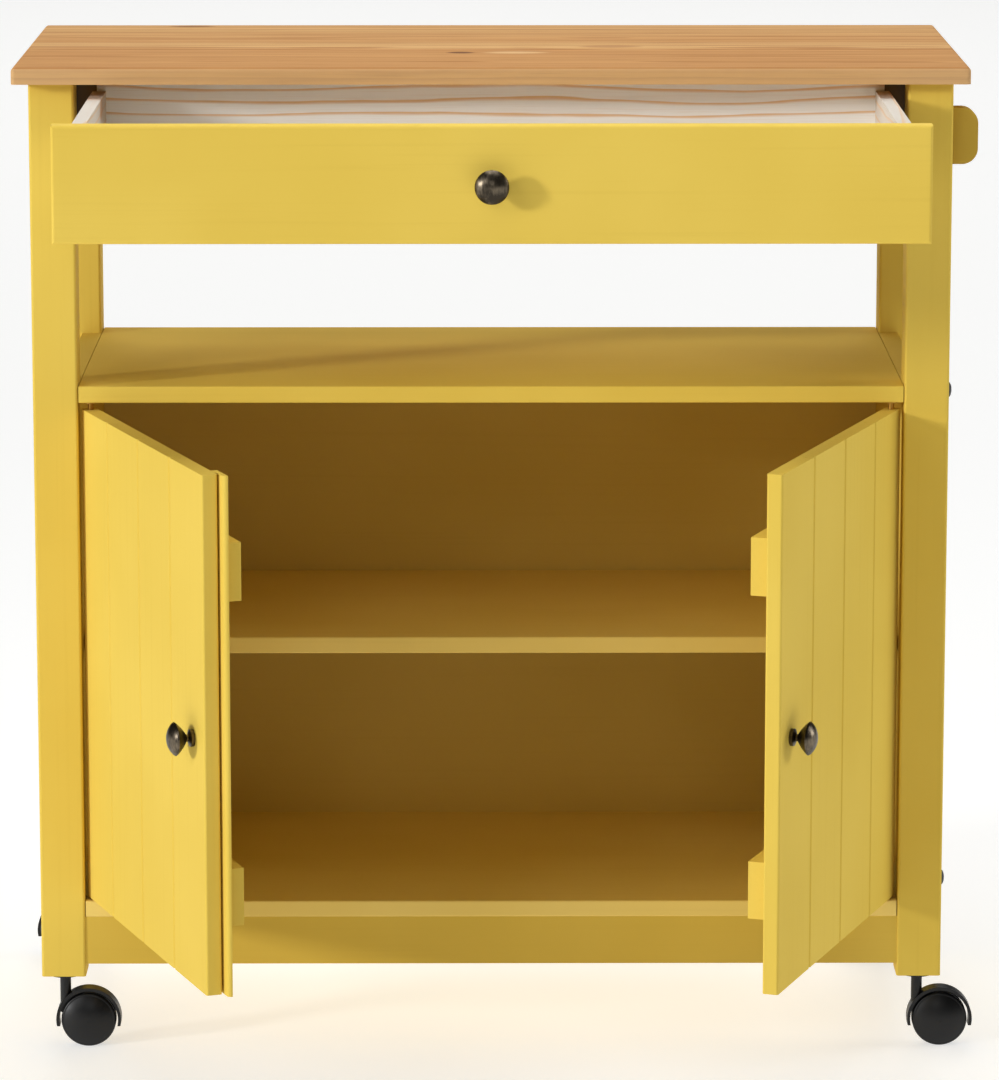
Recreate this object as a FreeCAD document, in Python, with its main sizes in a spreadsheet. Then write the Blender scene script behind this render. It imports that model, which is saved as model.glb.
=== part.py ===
import math
import os

import FreeCAD
import Part
import Sketcher

# Driving sizes, in millimetres and degrees. Heights are above the floor unless a comment says
# otherwise, and depths are measured from the front faces of the posts towards the rear.
sizes = {
    # Frame
    "overall_height": 900,
    "frame_width": 818,
    "frame_depth": 360,
    "origin_setback": 18.7,
    "post_size": 40,
    "post_arris": 2.5,
    "panel_thickness": 18,
    "rail_height": 105,
    # Worktop
    "worktop_length": 845,
    "worktop_depth": 400,
    "worktop_thickness": 15,
    "worktop_front_overhang": 20,
    "worktop_arris": 4,
    # Shelves, plinth and back
    "shelf_thickness": 15,
    "shelf_end_gap": 0.7,
    "shelf_front_recess": 1,
    "shelf_arris": 1.5,
    "middle_shelf_top": 613,
    "middle_shelf_rear_inset": 2,
    "bottom_board_top": 140,
    "plinth_height": 44,
    "plinth_recess": 2,
    "back_panel_thickness": 6,
    "back_panel_inset": 9,
    "inner_shelf_top": 379,
    "inner_shelf_setback": 28,
    "inner_shelf_end_gap": 2,
    "inner_shelf_rear_gap": 2,
    # Pins under the inner shelf
    "shelf_pin_diameter": 5,
    "shelf_pin_depth": 9,
    "shelf_pin_reach": 9,
    "shelf_pin_inset": 30,
    # Bolts through the right-hand posts, and the corner blocks on the bottom board
    "bolt_diameter": 6,
    "bolt_length": 70,
    "bolt_head_diameter": 16,
    "bolt_head_height": 4.5,
    "bolt_setback": 28,
    "bolt_bore_depth": 42,
    "corner_block_width": 34,
    "corner_block_depth": 32,
    "corner_block_height": 32,
    "corner_block_setback": 21,
    "corner_block_chamfer": 14,
    "corner_bolt_height": 15,
    # Towel rail
    "bracket_reach": 23,
    "bracket_height": 50,
    "bracket_thickness": 20,
    "bracket_corner": 14,
    "bracket_drop": 24,
    "towel_rod_diameter": 12,
    "towel_rod_offset": 12,
    "towel_rod_seat": 10,
    # Drawer
    "drawer_front_height": 99.5,
    "drawer_front_thickness": 18,
    "drawer_front_gap": 1.25,
    "drawer_front_arris": 2.5,
    "drawer_top_gap": 6.5,
    "drawer_rear_gap": 2,
    "drawer_side_thickness": 12,
    "drawer_side_height": 82,
    "drawer_side_lift": 11.5,
    "drawer_back_inset": 4,
    "drawer_back_gap": 6,
    "drawer_bottom_thickness": 4,
    "drawer_groove_height": 6,
    "drawer_groove_depth": 6,
    # Roller runners
    "runner_space": 14,
    "runner_sheet": 1.2,
    "runner_front_gap": 2,
    "cabinet_flange": 11,
    "drawer_flange": 9,
    "runner_lip": 10,
    "runner_play": 0.6,
    "roller_diameter": 17,
    "roller_width": 7,
    "roller_offset": 8,
    "roller_rise": 15.2,
    "roller_inset": 9,
    "roller_pin_diameter": 5,
    "roller_pin_end_gap": 2,
    "roller_stop_gap": 1,
    # Doors
    "door_open_angle": 70,
    "door_thickness": 14,
    "door_recess": 2,
    "door_hinge_gap": 3,
    "door_centre_gap": 2.5,
    "door_top_gap": 7,
    "door_bottom_gap": 2,
    "door_pivot_inset": 8,
    "door_hinge_round": 3,
    "door_free_arris": 2,
    "hinge_board_rip": 11.25,
    "board_joint": 0.3,
    "board_chamfer": 2.2,
    "tongue_length": 5,
    "tongue_thickness": 4,
    "batten_height": 50,
    "batten_thickness": 20,
    "batten_end_inset": 59,
    "batten_hinge_inset": 30,
    "right_batten_free_inset": 22,
    "strip_thickness": 6,
    "strip_glued_width": 20,
    "strip_overhang": 10.5,
    "strip_relief": 1.8,
    "strip_slot": 9,
    "strip_round": 3.5,
    # Door pivots
    "pivot_pin_diameter": 5,
    "pivot_pin_seat": 20,
    "bush_diameter": 8,
    "bush_depth": 8,
    "bush_flange_diameter": 12,
    "top_bush_flange": 1,
    # Knobs
    "knob_diameter": 29,
    "knob_projection": 23,
    "knob_base_diameter": 15,
    "knob_base_thickness": 3,
    "knob_neck_diameter": 6.2,
    "knob_neck_start": 4.8,
    "knob_neck_end": 6.2,
    "knob_rim_start": 14.8,
    "knob_rim_width": 2.6,
    "knob_rim_step": 0.9,
    "knob_cone_radius": 40,
    "knob_dome_radius": 19.5,
    "door_knob_inset": 32,
    "door_knob_height": 360,
    # Casters
    "wheel_diameter": 50,
    "wheel_outer_face": 13.5,
    "wheel_dome": 6,
    "wheel_shoulder": 2.5,
    "wheel_web_gap": 0.6,
    "axle_diameter": 6,
    "caster_trail": 21,
    "hood_width": 15,
    "hood_gap": 1.8,
    "hood_wall": 2.8,
    "hood_rise": 0.2,
    "hood_drop": 6,
    "hood_web": 5,
    "hub_diameter": 16,
    "arm_top_angle": 105,
    "arm_middle_angle": 135,
    "arm_low_angle": 165,
    "boss_diameter": 10,
    "boss_seat": 13.5,
    "boss_top_gap": 1.2,
    "stem_diameter": 7,
    "stem_seat": 22,
    "stem_exposed": 12.2,
    "stem_insert": 32,
    "stem_tip": 1,
    "socket_diameter": 12,
    "socket_depth": 34,
    "socket_flange_diameter": 31,
    "socket_flange": 2.4,
    # Clearances
    "fit": 0.05,
    "press_fit": 0.025,
    "seat": 0.1,
    "rest_gap": 0.3,
}

doc = FreeCAD.newDocument("ServingCart")
sheet = doc.addObject("Spreadsheet::Sheet", "Sizes")


# A length with its value now and the expression that keeps it tied to the sheet
class Size:
    def __init__(self, value, text):
        self.value = float(value)
        self.text = text

    def __add__(self, other):
        other = as_size(other)
        return Size(self.value + other.value, f"({self.text} + {other.text})")

    def __sub__(self, other):
        other = as_size(other)
        return Size(self.value - other.value, f"({self.text} - {other.text})")

    def __mul__(self, other):
        other = as_size(other)
        return Size(self.value * other.value, f"({self.text} * {other.text})")

    def __truediv__(self, other):
        other = as_size(other)
        return Size(self.value / other.value, f"({self.text} / {other.text})")

    def __neg__(self):
        return Size(-self.value, f"(0 - {self.text})")


def as_size(number):
    return number if isinstance(number, Size) else Size(number, repr(number))


def root(size):
    return Size(math.sqrt(size.value), f"sqrt({size.text})")


def cosine(degrees):
    return Size(math.cos(math.radians(degrees.value)), f"cos({degrees.text} * 1 deg)")


def sine(degrees):
    return Size(math.sin(math.radians(degrees.value)), f"sin({degrees.text} * 1 deg)")


class Named:
    pass


s = Named()
for row, (alias, number) in enumerate(sizes.items(), start=1):
    sheet.set(f"A{row}", str(number))
    sheet.setAlias(f"A{row}", alias)
    setattr(s, alias, Size(number, f"Sizes.{alias}"))
doc.recompute()

zero = Size(0, "0")
right, left = 1, -1
near = 1e-4
least_cut = 0.1
slight_cut = 0.002
board_count = 4
half_turn = Size(180, "180")


def bind(thing, path, size):
    thing.setExpression(path, size.text)


# Places a piece in the part's own frame, whose origin lies behind the posts' front faces
def put(piece, x, y, z, yaw=None):
    bind(piece, "Placement.Base.x", as_size(x))
    bind(piece, "Placement.Base.y", as_size(y) - s.origin_setback)
    bind(piece, "Placement.Base.z", as_size(z))
    if yaw is not None:
        bind(piece, "Placement.Rotation.Yaw", yaw)
    return piece


def new_body(label):
    body = doc.addObject("PartDesign::Body", label)
    body.Label = label
    return body


# A sketch on one of the body's own planes, moved along it by the offset
def new_sketch(body, plane, offset):
    count = len([item for item in body.Group if item.isDerivedFrom("Sketcher::SketchObject")])
    sketch = body.newObject("Sketcher::SketchObject", f"{body.Name}_outline_{count + 1}")
    origin_plane = [item for item in body.Origin.OriginFeatures if item.Role == plane][0]
    sketch.AttachmentSupport = [(origin_plane, "")]
    sketch.MapMode = "FlatFace"
    for axis, size in zip("xyz", offset):
        if size.text != "0":
            bind(sketch, f"AttachmentOffset.Base.{axis}", size)
    return sketch


def dimension(sketch, end, point):
    for direction, size, axis_line in (("X", point[0], -2), ("Y", point[1], -1)):
        if size.text == "0":
            sketch.addConstraint(Sketcher.Constraint("PointOnObject", end[0], end[1], axis_line))
        else:
            index = sketch.addConstraint(
                Sketcher.Constraint("Distance" + direction, -1, 1, end[0], end[1], size.value)
            )
            bind(sketch, f"Constraints[{index}]", size)


# The arc from one point to the next: outward 1 swells to the right of the way round, -1 to the left
def arc_between(start, stop, radius, outward, long_way):
    middle = (start + stop) * 0.5
    chord = stop - start
    leftward = FreeCAD.Vector(-chord.y, chord.x, 0).normalize()
    height = math.sqrt(max(radius**2 - (chord.Length / 2) ** 2, 0))
    centre = middle + leftward * height * outward * (-1 if long_way else 1)
    first, last = (start, stop) if outward > 0 else (stop, start)
    first_angle = math.atan2(first.y - centre.y, first.x - centre.x)
    last_angle = math.atan2(last.y - centre.y, last.x - centre.x)
    if last_angle <= first_angle:
        last_angle += 2 * math.pi
    circle = Part.Circle(centre, FreeCAD.Vector(0, 0, 1), radius)
    return Part.ArcOfCircle(circle, first_angle, last_angle)


# Draws a closed outline through the points; arcs maps a point's number to (radius, outward, long_way)
def draw_outline(sketch, points, arcs=None):
    arcs = arcs or {}
    places = [FreeCAD.Vector(x.value, y.value, 0) for x, y in points]
    starts, stops = [], []
    for number, place in enumerate(places):
        following = places[(number + 1) % len(places)]
        if number in arcs:
            radius, outward, long_way = arcs[number]
            curve = arc_between(place, following, radius.value, outward, long_way)
            edge = sketch.addGeometry(curve, False)
            ends = ((edge, 1), (edge, 2)) if outward > 0 else ((edge, 2), (edge, 1))
        else:
            edge = sketch.addGeometry(Part.LineSegment(place, following), False)
            ends = ((edge, 1), (edge, 2))
        starts.append(ends[0])
        stops.append(ends[1])
    for number, start in enumerate(starts):
        sketch.addConstraint(Sketcher.Constraint("Coincident", *stops[number - 1], *start))
    for start, point in zip(starts, points):
        dimension(sketch, start, point)
    for number, (radius, outward, long_way) in arcs.items():
        index = sketch.addConstraint(Sketcher.Constraint("Radius", starts[number][0], radius.value))
        bind(sketch, f"Constraints[{index}]", radius)


def draw_circle(sketch, centre, radius):
    place = FreeCAD.Vector(centre[0].value, centre[1].value, 0)
    circle = Part.Circle(place, FreeCAD.Vector(0, 0, 1), radius.value)
    edge = sketch.addGeometry(circle, False)
    dimension(sketch, (edge, 3), centre)
    index = sketch.addConstraint(Sketcher.Constraint("Radius", edge, radius.value))
    bind(sketch, f"Constraints[{index}]", radius)


# The XZ plane faces forwards, so what runs along +Y from it is turned round
def plane_sketch(body, plane, start):
    along = -start if plane == "XZ_Plane" and start.text != "0" else start
    return new_sketch(body, plane, (zero, zero, along))


def pad(body, plane, sketch, length):
    feature = body.newObject("PartDesign::Pad", f"{sketch.Name}_pad")
    feature.Profile = sketch
    feature.Reversed = plane == "XZ_Plane"
    bind(feature, "Length", length)
    return feature


def extrude(body, plane, points, start, length, arcs=None):
    sketch = plane_sketch(body, plane, start)
    draw_outline(sketch, points, arcs)
    pad(body, plane, sketch, length)
    return body


def extrude_round(body, plane, centre, radius, start, length):
    sketch = plane_sketch(body, plane, start)
    draw_circle(sketch, centre, radius)
    pad(body, plane, sketch, length)
    return body


# Cuts a round hole that runs from the start along the plane's positive direction
def bore(body, plane, centre, radius, start, depth, share=least_cut):
    doc.recompute()
    before = body.Shape.Volume
    sketch = plane_sketch(body, plane, start)
    draw_circle(sketch, centre, radius)
    pocket = body.newObject("PartDesign::Pocket", f"{sketch.Name}_bore")
    pocket.Profile = sketch
    pocket.Reversed = plane != "XZ_Plane"
    bind(pocket, "Length", depth)
    doc.recompute()
    least = share * math.pi * radius.value**2 * depth.value
    if before - body.Shape.Volume < least:
        raise RuntimeError(f"{body.Label}: a bore cut nothing")
    return body


# A turned piece; its points are (along the axis, radius)
def turned(label, axis, points, arcs=None, offset=(zero, zero, zero)):
    body = new_body(label)
    sketch = new_sketch(body, "XZ_Plane" if axis == "Z" else "XY_Plane", offset)
    flip = 1
    if axis != "X":
        points = [(radius, along) for along, radius in points]
        flip = -1
    arcs = {number: (arc[0], arc[1] * flip, arc[2]) for number, arc in (arcs or {}).items()}
    draw_outline(sketch, points, arcs)
    revolution = body.newObject("PartDesign::Revolution", f"{label}_turn")
    revolution.Profile = sketch
    revolution.ReferenceAxis = (sketch, ["H_Axis" if axis == "X" else "V_Axis"])
    revolution.Angle = 360
    return body


def rectangle(wide, high):
    return [(zero, zero), (wide, zero), (wide, high), (zero, high)]


# A board between two places on each axis
def plank(label, across, depth, height):
    body = new_body(label)
    outline = rectangle(across[1] - across[0], depth[1] - depth[0])
    extrude(body, "XY_Plane", outline, zero, height[1] - height[0])
    return put(body, across[0], depth[0], height[0])


# Rounds the edges that the test picks, given each edge's box and the body's box
def soften(body, radius, picks):
    doc.recompute()
    base = body.Tip
    whole = base.Shape.BoundBox
    chosen = []
    for number, edge in enumerate(base.Shape.Edges, start=1):
        if picks(edge.BoundBox, whole):
            chosen.append(f"Edge{number}")
    fillet = body.newObject("PartDesign::Fillet", f"{body.Name}_round_{len(body.Group)}")
    fillet.Base = (base, chosen)
    bind(fillet, "Radius", radius)
    return body


def upright(edge, whole):
    return edge.ZLength > whole.ZLength - near


def above_underside(edge, whole):
    return edge.ZMax > whole.ZMax - near


def front_rim(edge, whole):
    return edge.YMax < whole.YMin + near


def front_long(edge, whole):
    return front_rim(edge, whole) and edge.XLength > whole.XLength - near


def outer_corner(edge, whole):
    return edge.YLength > whole.YLength - near and edge.XMin > whole.XMax - near


# The same stretch across on the right-hand or left-hand side
def mirrored(side, low, high):
    return (low, high) if side == right else (-high, -low)


def turn_round(size, sign):
    if sign > 0 or size.text == "0":
        return size
    return -size


def compound(label, members):
    gathered = doc.addObject("Part::Compound", label)
    gathered.Label = label
    gathered.Links = members
    return gathered


nodes = []


def keep(piece):
    nodes.append(piece)
    return piece


side_names = {left: "left", right: "right"}

# Lines that several pieces share
half_frame = s.frame_width / 2
half_opening = half_frame - s.post_size
worktop_under = s.overall_height - s.worktop_thickness
wheel_radius = s.wheel_diameter / 2
hood_inner = wheel_radius + s.hood_gap
hood_outer = hood_inner + s.hood_wall
hood_top = wheel_radius + s.hood_rise + hood_outer
post_foot = hood_top + s.stem_exposed + s.socket_flange
rear_post_front = s.frame_depth - s.post_size
rail_foot = worktop_under - s.rail_height
middle_shelf_under = s.middle_shelf_top - s.shelf_thickness
bottom_board_under = s.bottom_board_top - s.shelf_thickness
plinth_foot = bottom_board_under - s.plinth_height
back_panel_rear = s.frame_depth - s.back_panel_inset
back_panel_front = back_panel_rear - s.back_panel_thickness
inner_shelf_under = s.inner_shelf_top - s.shelf_thickness
shelf_end = half_opening - s.shelf_end_gap
post_middle = s.post_size / 2
pivot_across = half_opening - s.door_hinge_gap - s.door_pivot_inset
pivot_depth = s.door_recess + s.door_thickness / 2
bolt_depths = {"front": s.bolt_setback, "rear": s.frame_depth - s.bolt_setback}
upper_bolt_height = s.middle_shelf_top - s.shelf_thickness / 2
lower_bolt_height = s.bottom_board_top + s.corner_bolt_height
bolt_radius = s.bolt_diameter / 2
bolt_hole = bolt_radius + s.seat
post_fronts = {"front": zero, "rear": rear_post_front}

# Worktop: an edge-glued board over all four posts
worktop = plank(
    "worktop",
    (-s.worktop_length / 2, s.worktop_length / 2),
    (-s.worktop_front_overhang, s.worktop_depth - s.worktop_front_overhang),
    (worktop_under, s.overall_height),
)
soften(worktop, s.worktop_arris, above_underside)
keep(worktop)


# Square posts, bored from below for the caster sockets and, on the right, for the bolts
def post(end, side):
    body = plank(
        f"{end}_{side_names[side]}_post",
        mirrored(side, half_opening, half_frame),
        (post_fronts[end], post_fronts[end] + s.post_size),
        (post_foot, worktop_under),
    )
    soften(body, s.post_arris, upright)
    socket_hole = s.socket_diameter / 2 + s.fit
    bore(body, "XY_Plane", (post_middle, post_middle), socket_hole, zero, s.socket_depth + s.rest_gap)
    if side == right:
        for height in (upper_bolt_height, lower_bolt_height):
            place = (bolt_depths[end] - post_fronts[end], height - post_foot)
            bore(body, "YZ_Plane", place, bolt_hole, zero, s.post_size)
    return keep(body)


for end in ("front", "rear"):
    for side in (left, right):
        post(end, side)

# Holes for the pins that carry the inner shelf
pin_radius = s.shelf_pin_diameter / 2
pin_height = inner_shelf_under - pin_radius - s.seat
pin_depths = (s.post_size + s.shelf_pin_inset, rear_post_front - s.shelf_pin_inset)


def side_panel(side):
    body = plank(
        f"{side_names[side]}_side_panel",
        mirrored(side, half_opening, half_opening + s.panel_thickness),
        (s.post_size, rear_post_front),
        (plinth_foot, s.middle_shelf_top),
    )
    start = zero if side == right else s.panel_thickness - s.shelf_pin_depth
    for depth in pin_depths:
        place = (depth - s.post_size, pin_height - plinth_foot)
        bore(body, "YZ_Plane", place, pin_radius + s.fit, start, s.shelf_pin_depth)
    return keep(body)


def top_rail(side):
    body = plank(
        f"{side_names[side]}_top_rail",
        mirrored(side, half_opening, half_opening + s.panel_thickness),
        (s.post_size, rear_post_front),
        (rail_foot, worktop_under),
    )
    return keep(body)


for side in (left, right):
    side_panel(side)
    top_rail(side)

rear_rail_front = s.frame_depth - s.panel_thickness
keep(
    plank(
        "rear_top_rail",
        (-half_opening, half_opening),
        (rear_rail_front, s.frame_depth),
        (rail_foot, worktop_under),
    )
)

# Middle shelf, held by the bolts and carrying the upper door pivots
bush_radius = s.bush_diameter / 2
bush_hole = bush_radius + s.fit
middle_shelf = plank(
    "middle_shelf",
    (-shelf_end, shelf_end),
    (s.shelf_front_recess, s.frame_depth - s.middle_shelf_rear_inset),
    (middle_shelf_under, s.middle_shelf_top),
)
soften(middle_shelf, s.shelf_arris, front_long)
for depth in bolt_depths.values():
    bore(
        middle_shelf,
        "YZ_Plane",
        (depth - s.shelf_front_recess, s.shelf_thickness / 2),
        bolt_hole,
        shelf_end * 2 - s.bolt_bore_depth,
        s.bolt_bore_depth,
    )
for side in (left, right):
    place = (shelf_end + pivot_across * side, pivot_depth - s.shelf_front_recess)
    bore(middle_shelf, "XY_Plane", place, bush_hole, zero, s.bush_depth)
keep(middle_shelf)

# Bottom board on the plinth, with the lower door pivots let into it
bottom_board = plank(
    "bottom_board",
    (-shelf_end, shelf_end),
    (s.shelf_front_recess, back_panel_front),
    (bottom_board_under, s.bottom_board_top),
)
soften(bottom_board, s.shelf_arris, front_long)
for side in (left, right):
    place = (shelf_end + pivot_across * side, pivot_depth - s.shelf_front_recess)
    bore(
        bottom_board,
        "XY_Plane",
        place,
        bush_hole,
        s.shelf_thickness - s.bush_depth,
        s.bush_depth,
    )
keep(bottom_board)

keep(
    plank(
        "plinth_rail",
        (-half_opening, half_opening),
        (s.plinth_recess, s.plinth_recess + s.panel_thickness),
        (plinth_foot, bottom_board_under),
    )
)

keep(
    plank(
        "back_panel",
        (-half_opening, half_opening),
        (back_panel_front, back_panel_rear),
        (bottom_board_under, middle_shelf_under),
    )
)

inner_shelf = plank(
    "inner_shelf",
    (-(half_opening - s.inner_shelf_end_gap), half_opening - s.inner_shelf_end_gap),
    (s.inner_shelf_setback, back_panel_front - s.inner_shelf_rear_gap),
    (inner_shelf_under, s.inner_shelf_top),
)
soften(inner_shelf, s.shelf_arris, front_long)
keep(inner_shelf)


def shelf_pin(side, number, depth):
    inner = half_opening - s.shelf_pin_reach
    outer = half_opening + s.shelf_pin_depth - s.rest_gap
    low, high = mirrored(side, inner, outer)
    points = [(zero, zero), (high - low, zero), (high - low, pin_radius), (zero, pin_radius)]
    body = turned(f"{side_names[side]}_shelf_pin_{number}", "X", points)
    return put(body, low, depth, pin_height)


pins = []
for side in (left, right):
    for number, depth in enumerate(pin_depths, start=1):
        pins.append(shelf_pin(side, number, depth))
keep(compound("shelf_pins", pins))


# Dome-headed bolts through the right-hand posts
def side_bolt(end, level, height):
    head_radius = s.bolt_head_diameter / 2
    rise = s.bolt_head_height
    dome = (head_radius * head_radius + rise * rise) / (rise * 2)
    points = [
        (-s.bolt_length, zero),
        (s.bolt_head_height, zero),
        (zero, head_radius),
        (zero, bolt_radius),
        (-s.bolt_length, bolt_radius),
    ]
    body = turned(f"{end}_{level}_bolt", "X", points, {1: (dome, 1, False)})
    return put(body, half_frame, bolt_depths[end], height)


bolts = []
for end in ("front", "rear"):
    bolts.append(side_bolt(end, "upper", upper_bolt_height))
    bolts.append(side_bolt(end, "lower", lower_bolt_height))
keep(compound("side_bolts", bolts))


# Glue blocks in the corners of the bottom board; the lower bolts screw into the right-hand ones
def corner_block(end, side):
    wide, deep, cut = s.corner_block_width, s.corner_block_depth, s.corner_block_chamfer
    points = [(zero, zero), (wide, zero), (wide, deep - cut), (wide - cut, deep), (zero, deep)]
    across = -side
    towards_rear = 1 if end == "front" else -1
    points = [(turn_round(x, across), turn_round(y, towards_rear)) for x, y in points]
    body = new_body(f"{end}_{side_names[side]}_corner_block")
    extrude(body, "XY_Plane", points, zero, s.corner_block_height)
    front = s.corner_block_setback
    depth = front if end == "front" else s.frame_depth - front
    put(body, half_opening * side, depth, s.bottom_board_top)
    if side == right:
        place = (bolt_depths[end] - depth, s.corner_bolt_height)
        bore(body, "YZ_Plane", place, bolt_hole, -wide, wide)
    return body


blocks = [corner_block(end, side) for end in ("front", "rear") for side in (left, right)]
keep(compound("corner_blocks", blocks))


# Towel rail: two brackets on the right-hand posts and a round rod let into them
bracket_top = worktop_under - s.bracket_drop
rod_radius = s.towel_rod_diameter / 2
rod_height = bracket_top - s.bracket_height / 2


def towel_bracket(end):
    body = new_body(f"{end}_towel_bracket")
    outline = rectangle(s.bracket_reach, s.bracket_height)
    extrude(body, "XZ_Plane", outline, zero, s.bracket_thickness)
    soften(body, s.bracket_corner, outer_corner)
    start = s.bracket_thickness - s.towel_rod_seat if end == "front" else zero
    place = (s.towel_rod_offset, s.bracket_height / 2)
    bore(body, "XZ_Plane", place, rod_radius + s.seat, start, s.towel_rod_seat)
    depth = post_fronts[end] + (s.post_size - s.bracket_thickness) / 2
    return keep(put(body, half_frame, depth, bracket_top - s.bracket_height))


for end in ("front", "rear"):
    towel_bracket(end)

rod_front = (s.post_size + s.bracket_thickness) / 2 - s.towel_rod_seat + s.rest_gap
rod_length = s.frame_depth - rod_front * 2
towel_rod = turned(
    "towel_rod",
    "Y",
    [(zero, zero), (rod_length, zero), (rod_length, rod_radius), (zero, rod_radius)],
)
keep(put(towel_rod, half_frame + s.towel_rod_offset, rod_front, rod_height))

# Roller runners: heights go up from the foot of the drawer's sides
front_foot = worktop_under - s.drawer_top_gap - s.drawer_front_height
side_foot = front_foot + s.drawer_side_lift
roller_radius = s.roller_diameter / 2
front_roller_height = side_foot + s.roller_rise
rear_roller_height = front_roller_height - s.seat * 2
drawer_flange_under = front_roller_height + roller_radius + s.seat
drawer_flange_top = drawer_flange_under + s.runner_sheet
channel_floor = rear_roller_height - roller_radius - s.seat
channel_foot = channel_floor - s.runner_sheet
channel_ceiling = drawer_flange_top + s.runner_play
channel_top = channel_ceiling + s.runner_sheet
runner_front = s.drawer_front_thickness + s.runner_front_gap
front_roller_depth = runner_front + s.roller_inset
drawer_depth = rear_rail_front - s.drawer_rear_gap
rear_roller_depth = drawer_depth - s.roller_inset

# Pulled out until the rear rollers stop against the front ones
drawer_out = rear_roller_depth - front_roller_depth - s.roller_diameter - s.roller_stop_gap
roller_pin_radius = s.roller_pin_diameter / 2
box_half = half_opening - s.runner_space


# Distances across are measured inwards from the frame's inner face
def inward(side, outline):
    return [(turn_round(x, -side), z) for x, z in outline]


def cabinet_runner(side):
    flange, sheet = s.cabinet_flange, s.runner_sheet
    outline = [
        (zero, zero),
        (flange, zero),
        (flange, sheet),
        (sheet, sheet),
        (sheet, channel_ceiling - channel_foot),
        (flange, channel_ceiling - channel_foot),
        (flange, channel_top - channel_foot),
        (zero, channel_top - channel_foot),
    ]
    body = new_body(f"{side_names[side]}_cabinet_runner")
    extrude(body, "XZ_Plane", inward(side, outline), zero, rear_rail_front - runner_front)
    pin_end = s.runner_space - s.roller_pin_end_gap
    place = (front_roller_depth - runner_front, front_roller_height - channel_foot)
    start = -pin_end if side == right else sheet / 2
    extrude_round(body, "YZ_Plane", place, roller_pin_radius, start, pin_end - sheet / 2)
    return keep(put(body, half_opening * side, runner_front, channel_foot))


def drawer_runner(side):
    sheet, space = s.runner_sheet, s.runner_space
    lip_foot = side_foot - sheet
    outline = [
        (space + s.runner_lip, zero),
        (space - sheet, zero),
        (space - sheet, drawer_flange_under - lip_foot),
        (space - s.drawer_flange, drawer_flange_under - lip_foot),
        (space - s.drawer_flange, drawer_flange_top - lip_foot),
        (space, drawer_flange_top - lip_foot),
        (space, sheet),
        (space + s.runner_lip, sheet),
    ]
    body = new_body(f"{side_names[side]}_drawer_runner")
    start_depth = s.drawer_front_thickness
    extrude(body, "XZ_Plane", inward(side, outline), zero, drawer_depth - start_depth)
    place = (rear_roller_depth - start_depth, rear_roller_height - lip_foot)
    pin_tip = s.roller_pin_end_gap + sheet
    pin_root = space - sheet / 2
    start = -pin_root if side == right else pin_tip
    extrude_round(body, "YZ_Plane", place, roller_pin_radius, start, pin_root - pin_tip)
    return keep(put(body, half_opening * side, start_depth - drawer_out, lip_foot))


# A nylon roller on its pin
def roller(end, side):
    depth = front_roller_depth if end == "front" else rear_roller_depth - drawer_out
    height = front_roller_height if end == "front" else rear_roller_height
    inner = roller_pin_radius + s.fit
    points = [
        (zero, inner),
        (s.roller_width, inner),
        (s.roller_width, roller_radius),
        (zero, roller_radius),
    ]
    body = turned(f"{side_names[side]}_{end}_roller", "X", points)
    middle = (half_opening - s.roller_offset) * side
    return keep(put(body, middle - s.roller_width / 2, depth, height))


for side in (left, right):
    cabinet_runner(side)
    drawer_runner(side)
    roller("front", side)
    roller("rear", side)

# Drawer: a front board and a box that it carries, with the bottom in grooves
front_top = front_foot + s.drawer_front_height
front_half = half_opening - s.drawer_front_gap
drawer_front = plank(
    "drawer_front",
    (-front_half, front_half),
    (-drawer_out, s.drawer_front_thickness - drawer_out),
    (front_foot, front_top),
)
soften(drawer_front, s.drawer_front_arris, front_rim)
keep(drawer_front)

drawer_back_front = drawer_depth - s.drawer_side_thickness
groove_top = s.drawer_groove_height + s.drawer_bottom_thickness + s.seat * 2


def drawer_side(side):
    wide, high, cut = s.drawer_side_thickness, s.drawer_side_height, s.drawer_groove_depth
    outline = [
        (zero, zero),
        (wide, zero),
        (wide, s.drawer_groove_height),
        (wide - cut, s.drawer_groove_height),
        (wide - cut, groove_top),
        (wide, groove_top),
        (wide, high),
        (zero, high),
    ]
    body = new_body(f"drawer_{side_names[side]}_side")
    length = drawer_back_front - s.drawer_front_thickness
    extrude(body, "XZ_Plane", inward(side, outline), zero, length)
    return keep(put(body, box_half * side, s.drawer_front_thickness - drawer_out, side_foot))


for side in (left, right):
    drawer_side(side)

bottom_foot = side_foot + s.drawer_groove_height + s.seat
bottom_half = box_half - s.drawer_side_thickness + s.drawer_groove_depth - s.rest_gap
bottom_top = bottom_foot + s.drawer_bottom_thickness
keep(
    plank(
        "drawer_bottom",
        (-bottom_half, bottom_half),
        (s.drawer_front_thickness - drawer_out, drawer_depth - drawer_out),
        (bottom_foot, bottom_top),
    )
)
back_half = box_half - s.drawer_back_inset
keep(
    plank(
        "drawer_back",
        (-back_half, back_half),
        (drawer_back_front - drawer_out, drawer_depth - drawer_out),
        (bottom_top, worktop_under - s.drawer_back_gap),
    )
)


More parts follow.
